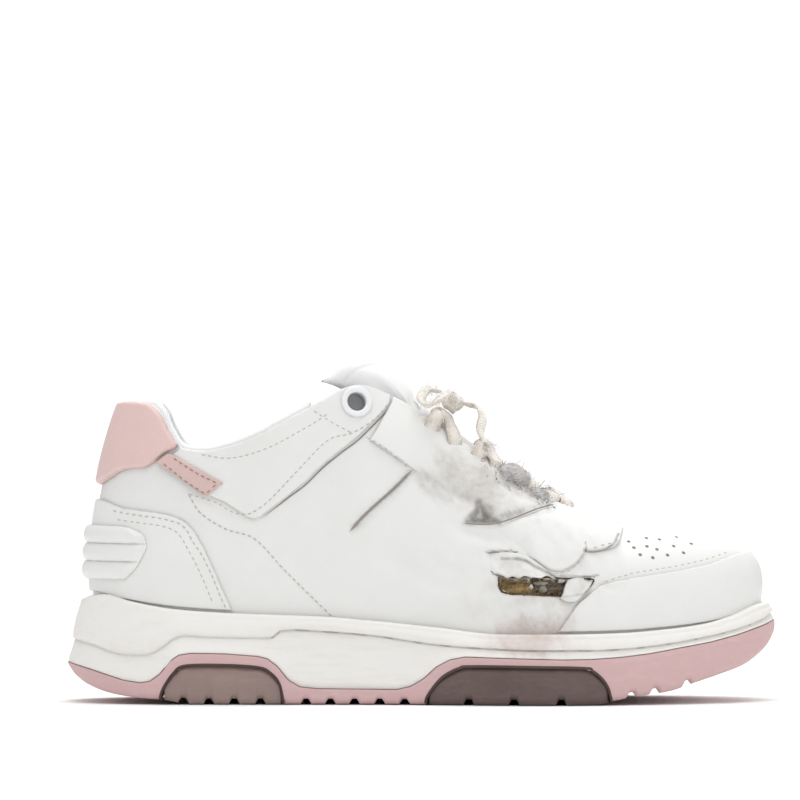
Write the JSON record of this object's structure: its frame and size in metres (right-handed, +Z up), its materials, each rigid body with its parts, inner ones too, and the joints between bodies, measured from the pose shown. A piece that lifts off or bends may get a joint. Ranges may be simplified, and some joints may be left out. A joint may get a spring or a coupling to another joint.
{
  "type": "sneaker",
  "caption": "Worn low leather sneaker for the right foot: stepped rubber cup sole with tread pads, padded collar and tongue, lace-up throat with a small bow, heel tab and ribbed counter.",
  "frame": {"origin": "middle of the footprint on the ground, under the arch", "axes": "+X towards the toe, +Z up, +Y towards the inner side of a right foot"},
  "size_m": [0.283, 0.1055, 0.1367],
  "materials": {
    "white_leather": "smooth, creased and soiled",
    "pink_leather": "fine grain, worn",
    "pink_rubber": "matt, scuffed",
    "cream_rubber": "satin, soiled",
    "tread_rubber": "smoky, slightly clear",
    "lining": "soft knit",
    "lace": "flat weave, frayed and dirty",
    "eyelet": "satin"
  },
  "bodies": {
    "root": {"outsole": "pink_rubber", "heel_tread": "tread_rubber", "forefoot_tread": "tread_rubber", "midsole": "cream_rubber", "insole": "lining", "upper": "white_leather", "heel_tab": "pink_leather", "heel_counter": "white_leather", "heel_ribs": "white_leather", "toe_guard": "white_leather", "throat_tab": "white_leather", "eyestay_lateral": "white_leather", "eyestay_medial": "white_leather", "collar_panel_lateral": "white_leather", "collar_panel_medial": "white_leather", "heel_strap_lateral": "pink_leather", "heel_strap_medial": "pink_leather", "eyelet_lateral": "eyelet", "eyelet_medial": "eyelet", "collar_lining": "lining", "tongue": "lining", "lace_cross_1": "lace", "lace_cross_2": "lace", "lace_cross_3": "lace", "lace_cross_4": "lace", "lace_knot": "lace", "lace_loop_lateral": "lace", "lace_loop_medial": "lace", "lace_end_lateral": "lace", "lace_end_medial": "lace"}
  },
  "joints": []
}
